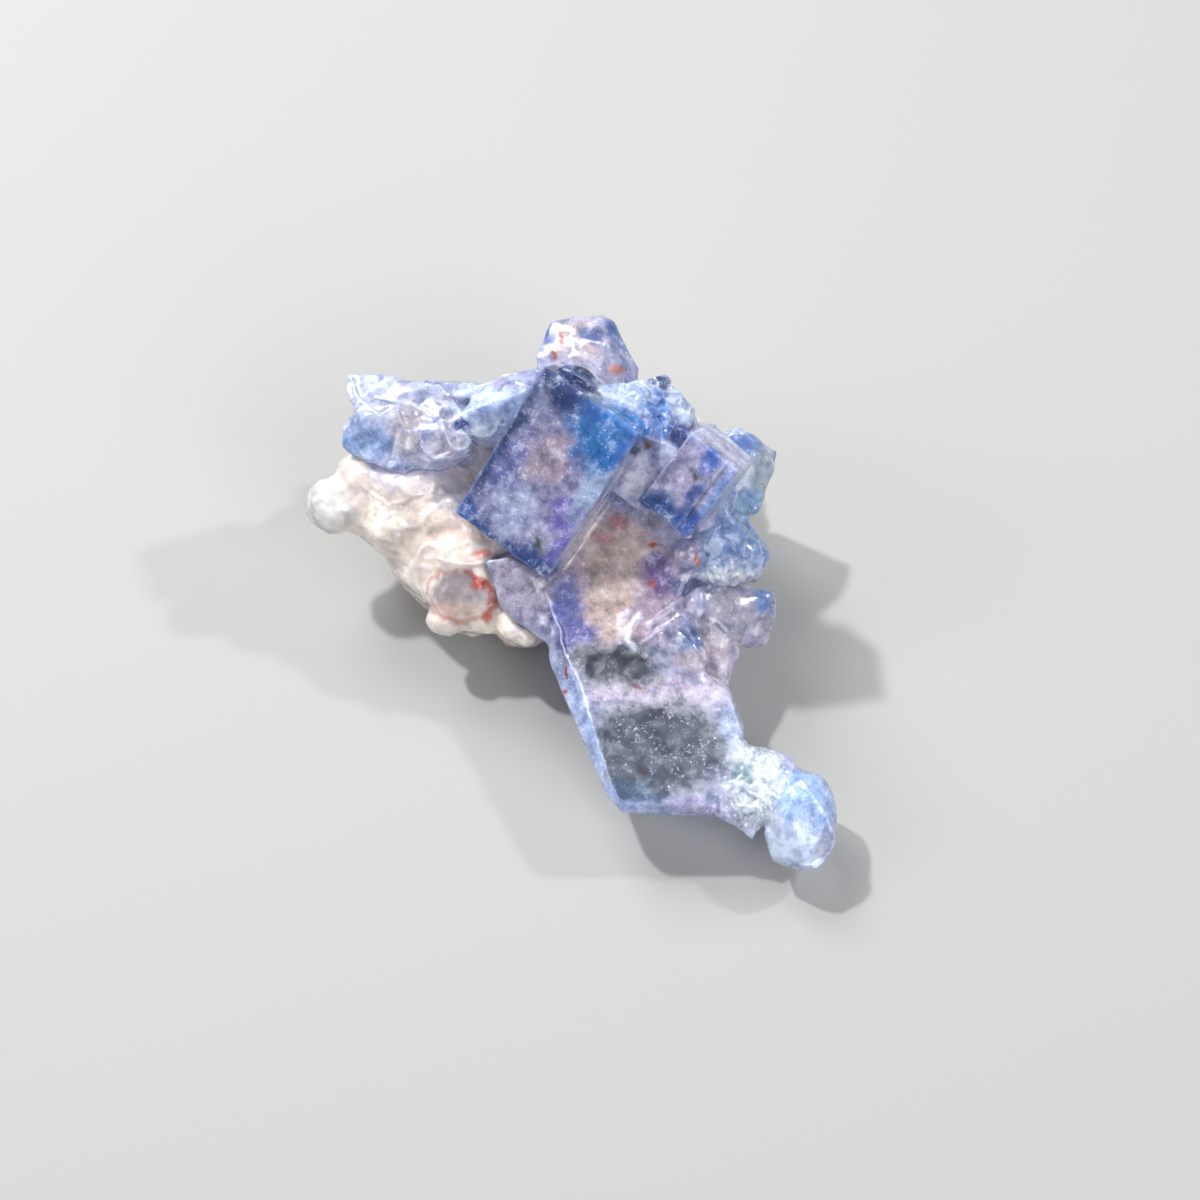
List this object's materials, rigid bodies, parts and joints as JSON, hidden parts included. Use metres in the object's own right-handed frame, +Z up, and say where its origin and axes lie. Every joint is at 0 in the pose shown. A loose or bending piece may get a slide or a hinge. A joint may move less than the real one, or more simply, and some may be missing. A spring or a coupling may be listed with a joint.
{
  "type": "fluorite cube cluster",
  "caption": "Hand specimen of intergrown see-through blue fluorite cubes with a clear tongue, seated in milky quartz matrix.",
  "frame": {"origin": "middle of the specimen's box, on the level it rests on", "axes": "+Z up, +X to the right of the crystals' best side, +Y away from that side, along the specimen's longest way"},
  "size_m": [0.0303, 0.0314, 0.0172],
  "materials": {
    "fluorite": "clear to milky blue and lavender crystal, glassy faces with fine pits, frosted edges, rusty stains",
    "quartz": "milky cream quartz, waxy and slightly see-through, with peach and red iron stains"
  },
  "bodies": {
    "root": {"fluorite_cubes": "fluorite", "quartz_matrix": "quartz"}
  },
  "joints": []
}
